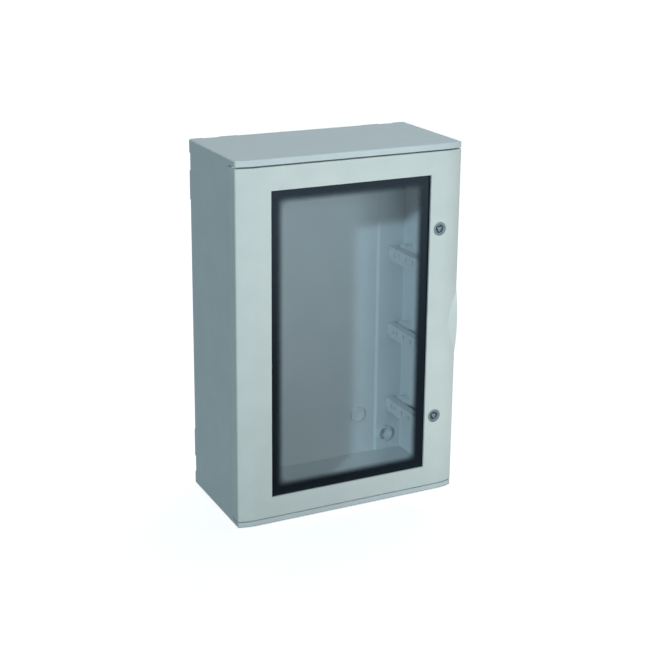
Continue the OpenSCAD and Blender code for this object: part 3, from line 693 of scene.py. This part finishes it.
class BOX_OT_make_screws(bpy.types.Operator):
    """Make the screws of the clips, the rails and the cams"""
    bl_idname = "box.make_screws"
    bl_label = "Make screws"

    def execute(self, context):
        finish = context.scene.box_finish
        steel = plated_metal("zinc_plated_steel_screws", finish.zinc, roughness=0.26, grain=0.8 * MM,
                             stretch=(1, 1, 1))
        nylon = satin_plastic("grey_nylon_screws", finish.screw, finish, roughness=0.4, grain=0.8 * MM)
        clip_screw, rail_screw, cam_screw = map(recessed_screw, (CLIP_SCREW, RAIL_SCREW, CAM_SCREW))
        parts = []
        for low, high in solids_of("clip_screws"):
            middle = (low + high) / 2
            seat = Matrix.Translation((middle.x, high.y - CLIP_SCREW.head_height * MM, middle.z))
            parts.append((clip_screw, seat @ facing((0, 1, 0))))
        piece("pan_head_clip_screws", join(parts), steel, "door", "zinc_steel", "clip_screws")
        parts = []
        for low, high in solids_of("rail_screws"):
            middle = (low + high) / 2
            inward = -1 if middle.x > 0 else 1
            head = low.x if inward < 0 else high.x
            seat = Matrix.Translation((head - inward * RAIL_SCREW.head_height * MM, middle.y, middle.z))
            parts.append((rail_screw, seat @ facing((inward, 0, 0))))
        piece("pan_head_rail_screws", join(parts), nylon, "enclosure", "screw_nylon", "rail_screws")
        for level in LEVELS:
            low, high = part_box(f"cam_screw_{level}")
            middle = (low + high) / 2
            seat = Matrix.Translation((middle.x, high.y - CAM_SCREW.head_height * MM, middle.z))
            mesh = join([(cam_screw, seat @ facing((0, 1, 0)))])
            piece(f"pan_head_cam_screw_{level}", mesh, steel, f"{level}_lock", "zinc_steel",
                  f"cam_screw_{level}")
        return {"FINISHED"}


class BOX_OT_make_locks(bpy.types.Operator):
    """Make the two quarter-turn locks: barrel, nut, key and cam"""
    bl_idname = "box.make_locks"
    bl_label = "Make locks"

    def barrel(self, low, high, fitting):
        """Barrel with a rounded rosette, a chamfered socket, a bore and a thread, along +Z from its face."""
        rosette_r = (high.x - low.x) / 2
        barrel_r, socket_r = fitting.barrel_diameter / 2, fitting.socket_diameter / 2
        bore_r = fitting.spindle_diameter / 2 + fitting.spindle_play
        total, pitch = high.y - low.y, fitting.thread_pitch
        brow, mouth = fitting.rosette_brow, fitting.socket_chamfer
        rim = [(rosette_r - brow + brow * cos(a), brow - brow * sin(a)) for a in (pi / 2, pi / 3, pi / 6, 0)]
        start, floor = fitting.rosette_thickness, fitting.socket_depth
        root_r = barrel_r - fitting.thread_depth
        thread = []
        for turn in range(int((total - start) / pitch) - 1):
            thread += [(root_r, start + pitch * (turn + 0.3)), (barrel_r, start + pitch * (turn + 0.8))]
        profile = [
            (socket_r + mouth, 0), *rim, (rosette_r, start), (barrel_r, start), *thread, (root_r, total),
            (bore_r, total), (bore_r, floor), (socket_r, floor), (socket_r, mouth)]
        bm = bmesh.new()
        lathe(bm, profile, Matrix(), segments=64, closed=True)
        return to_mesh(bm)

    def nut(self, low, high, fitting):
        """Hexagonal nut with chamfered corners, along +Z."""
        height, flats = high.y - low.y, high.x - low.x
        corner = flats / 2 / cos(pi / 6)
        hexagon = [(corner * sin(tau * i / 6), -corner * cos(tau * i / 6)) for i in range(6)]
        bore = round_hole((0, 0), fitting.barrel_diameter / 2 + fitting.nut_play, 48)
        blank_nut = plate([hexagon, bore], height, fitting.nut_edge)
        slope = 0.6
        fall = (corner - flats / 2) * slope
        profile = [(0, 0), (flats / 2, 0), (corner, fall), (corner, height - fall), (flats / 2, height),
                   (0, height)]
        bm = bmesh.new()
        lathe(bm, profile, Matrix())
        return carve(blank_nut, to_mesh(bm), "INTERSECT")

    def core(self, low, high, fitting):
        """Spindle along +Z from the rosette's face: a three-sided key, a disc, a shaft and a square."""
        face, edge, root = fitting.key_sink, fitting.cast_edge, fitting.square_root
        disc = fitting.socket_depth - fitting.disc_thickness
        floor = fitting.socket_depth - fitting.spindle_play
        disc_r = (high.x - low.x) / 2
        shaft_r, half = fitting.spindle_diameter / 2, fitting.square / 2
        total = high.y - low.y + face
        shoulder = total - fitting.square_length
        reach = fitting.key_radius
        corners = [(reach * sin(tau * i / 3), reach * cos(tau * i / 3)) for i in (0, 2, 1)]
        key = plate([round_polygon(corners, fitting.key_corner)], disc - face + fitting.key_root, edge)
        sides = round_polygon(rectangle(half, half), fitting.square_corner)
        square = plate([sides], total - shoulder + root, fitting.square_edge)
        bm = bmesh.new()
        lathe(bm, [(0, disc), (disc_r - edge, disc), (disc_r, disc + edge), (disc_r, floor),
                   (shaft_r, floor), (shaft_r, shoulder), (0, shoulder)], Matrix())
        return join([(key, Matrix.Translation((0, 0, face))), (to_mesh(bm), Matrix()),
                     (square, Matrix.Translation((0, 0, shoulder - root)))])

    def cam(self, low, high, fitting):
        """Punched cam with a round hub, a square hole and a rounded tip, along +Z, hanging down -Y."""
        edge, tip = fitting.sheet_edge, fitting.cam_tip
        half = (high.x - low.x) / 2 - edge
        reach = high.z - low.z - (high.x - low.x) / 2 - edge
        outline = [*arc((0, 0), half, 0, 180, 24), *arc((-half + tip, -reach + tip), tip, 180, 270, 6),
                   *arc((half - tip, -reach + tip), tip, 270, 360, 6)]
        side = fitting.square / 2 + fitting.spindle_play + edge
        hole = [(-side, -side), (-side, side), (side, side), (side, -side)]
        return plate([outline, hole], high.y - low.y, edge)

    def execute(self, context):
        finish, fitting = context.scene.box_finish, context.scene.box_fittings
        painted = zinc_casting("painted_zinc_casting", finish.lock, roughness=0.42, grain=2.5 * MM)
        bare = zinc_casting("bare_zinc_casting", finish.core, roughness=0.38, grain=2.5 * MM)
        steel = plated_metal("zinc_plated_steel_cams", finish.zinc, roughness=0.34, grain=1.0 * MM,
                             stretch=(1, 1, 6))
        makers = {"barrel": (self.barrel, painted, "lock_zinc"), "nut": (self.nut, steel, "zinc_steel"),
                  "core": (self.core, bare, "core_zinc"), "cam": (self.cam, steel, "zinc_steel")}
        for level in LEVELS:
            face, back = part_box(f"lock_barrel_{level}")
            axis = (face + back) / 2
            for part, (maker, material, slot) in makers.items():
                low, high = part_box(f"lock_{part}_{level}")
                start = face.y if part == "core" else low.y
                place = Matrix.Translation((axis.x, start, axis.z)) @ Matrix.Rotation(-pi / 2, 4, "X")
                if part == "cam":
                    place = place @ Matrix.Diagonal((1, -1, 1, 1))
                body = "door" if part in ("barrel", "nut") else f"{level}_lock"
                piece(f"{part}_{level}", join([(maker(low, high, fitting), place)]), material, body, slot,
                      f"lock_{part}_{level}")
        return {"FINISHED"}


class BOX_OT_make_stage(bpy.types.Operator):
    """Make the floor, the lights and the camera"""
    bl_idname = "box.make_stage"
    bl_label = "Make stage"

    def floor(self, stage):
        """Pale floor that stays white and keeps a soft shadow, in a collection that lamps can spare."""
        material, tree, out, place = blank("pale_studio_floor")
        apart = add(tree, "SeparateXYZ", {"Vector": place})
        away = add(tree, "MapRange", {"Value": apart.outputs["Y"], "From Min": -stage.floor_near,
                                      "From Max": -stage.floor_far}, interpolation_type="SMOOTHSTEP")
        through = add(tree, "LightPath").outputs["Is Transmission Ray"]
        glossy = add(tree, "Math", {0: in_sight(tree, "Is Glossy Ray"), 1: through}, operation="SUBTRACT",
                     use_clamp=True).outputs["Value"]
        mirrored = add(tree, "Math", {0: glossy, 1: away.outputs["Result"]}, operation="MULTIPLY")
        glow = add(tree, "Math", {0: in_sight(tree, "Is Camera Ray", "Is Transmission Ray"),
                                  1: stage.floor_glow, 2: mirrored.outputs["Value"]},
                   operation="MULTIPLY_ADD")
        hue = add(tree, "Mix", {0: glossy, 6: (1, 1, 1, 1), 7: solid(stage.mirrored)}, data_type="RGBA")
        pale = add(tree, "BsdfDiffuse", {"Color": solid(stage.floor)})
        glowing = add(tree, "Emission", {"Color": hue.outputs[2], "Strength": glow.outputs["Value"]})
        both = add(tree, "AddShader", {0: pale.outputs["BSDF"], 1: glowing.outputs["Emission"]})
        tree.links.new(both.outputs["Shader"], out.inputs["Surface"])
        bm = bmesh.new()
        bmesh.ops.create_grid(bm, x_segments=1, y_segments=1, size=stage.floor_reach)
        mesh = to_mesh(bm)
        mesh.materials.append(material)
        floor = bpy.data.objects.new("floor", mesh)
        bpy.context.collection.objects.link(floor)
        # The floor throws no light back at the box
        floor.visible_diffuse = False
        spared = bpy.data.collections.new("spared_floor")
        spared.objects.link(floor)
        spared.collection_objects[0].light_linking.link_state = "EXCLUDE"
        return spared

    def world(self, stage):
        """Soft light from all round, which is plain white where it is seen or mirrored."""
        world = bpy.data.worlds.new("studio")
        world.use_nodes = True
        tree = world.node_tree
        tree.nodes.clear()
        out = add(tree, "OutputWorld")
        ambient = add(tree, "Background", {"Color": solid(stage.ambient), "Strength": stage.ambient_level})
        white = add(tree, "Background", {"Color": (1, 1, 1, 1), "Strength": 1})
        shown = in_sight(tree, "Is Camera Ray", "Is Glossy Ray", "Is Transmission Ray")
        mixed = add(tree, "MixShader", {0: shown, 1: ambient.outputs["Background"],
                                        2: white.outputs["Background"]})
        tree.links.new(mixed.outputs["Shader"], out.inputs["Surface"])
        bpy.context.scene.world = world

    def lamp(self, name, kind, place, aim, energy, size, tint, spared=None):
        """Lamp aimed from a place at a point. The size is a sun's angle or the width of a softbox."""
        lamp = bpy.data.lights.new(name, kind)
        lamp.energy = energy
        lamp.color = tint
        setattr(lamp, "angle" if kind == "SUN" else "size", size)
        holder = bpy.data.objects.new(name, lamp)
        bpy.context.collection.objects.link(holder)
        holder.location = place
        holder.rotation_euler = (Vector(aim) - Vector(place)).to_track_quat("-Z", "Y").to_euler()
        holder.visible_camera = False
        holder.visible_glossy = False
        holder.visible_transmission = False
        holder.light_linking.receiver_collection = spared

    def camera(self, stage):
        """Camera at the photograph's viewing angle."""
        lens = bpy.data.cameras.new("camera")
        lens.sensor_width = 36
        lens.lens = stage.lens
        lens.shift_y = stage.rise
        holder = bpy.data.objects.new("camera", lens)
        bpy.context.collection.objects.link(holder)
        turn = Matrix.Rotation(-stage.yaw, 4, "Z") @ Matrix.Rotation(pi / 2 - stage.pitch, 4, "X")
        holder.matrix_world = Matrix.Translation(stage.place) @ turn @ Matrix.Rotation(stage.roll, 4, "Z")
        bpy.context.scene.camera = holder

    def execute(self, context):
        stage = context.scene.box_stage
        spared = self.floor(stage)
        self.world(stage)
        middle = (CAD_BOX[0] + CAD_BOX[1]) / 2
        self.lamp("side_key", "SUN", middle + stage.key_place, middle, stage.key_level, stage.key_angle,
                  stage.key_tint, spared)
        self.lamp("top_softbox", "SUN", middle + stage.top_place, middle, stage.top_level, stage.top_angle,
                  stage.top_tint)
        self.lamp("front_softbox", "AREA", middle + stage.front_place, middle, stage.front_level,
                  stage.front_width, stage.front_tint, spared)
        self.lamp("right_fill", "AREA", middle + stage.right_place, middle + stage.right_aim,
                  stage.right_level, stage.right_width, stage.right_tint, spared)
        self.lamp("rear_fill", "SUN", middle + stage.rear_place, middle, stage.rear_level, stage.rear_angle,
                  stage.rear_tint, spared)
        self.camera(stage)
        context.scene.view_settings.view_transform = "Standard"
        return {"FINISHED"}


class BOX_PT_dresser(bpy.types.Panel):
    """Steps that dress the box, in their order"""
    bl_idname = "BOX_PT_dresser"
    bl_label = "Distribution box"
    bl_space_type = "VIEW_3D"
    bl_region_type = "UI"
    bl_category = "Distribution Box"

    def draw(self, context):
        for operator in OPERATORS:
            self.layout.operator(operator.bl_idname)
        for settings in SETTINGS:
            holder = getattr(context.scene, settings)
            for name in holder.__annotations__:
                self.layout.prop(holder, name)


OPERATORS = (BOX_OT_make_stage, BOX_OT_finish_mouldings, BOX_OT_finish_window, BOX_OT_finish_hinges,
             BOX_OT_make_seal, BOX_OT_make_clips, BOX_OT_make_screws, BOX_OT_make_locks)
SETTINGS = {"box_finish": FinishSettings, "box_fittings": FittingSettings, "box_stage": StageSettings}


def register():
    """Adds the settings, the operators and the panel to Blender."""
    for group in SETTINGS.values():
        bpy.utils.register_class(group)
    for name, group in SETTINGS.items():
        setattr(bpy.types.Scene, name, PointerProperty(type=group))
    for operator in (*OPERATORS, BOX_PT_dresser):
        bpy.utils.register_class(operator)


def unregister():
    """Takes the panel, the operators and the settings out again."""
    for operator in (BOX_PT_dresser, *reversed(OPERATORS)):
        bpy.utils.unregister_class(operator)
    for name, group in SETTINGS.items():
        delattr(bpy.types.Scene, name)
        bpy.utils.unregister_class(group)


def main():
    """Dresses the box step by step."""
    register()
    for operator in OPERATORS:
        section, step = operator.bl_idname.split(".")
        getattr(getattr(bpy.ops, section), step)()


if __name__ == "__main__":
    main()
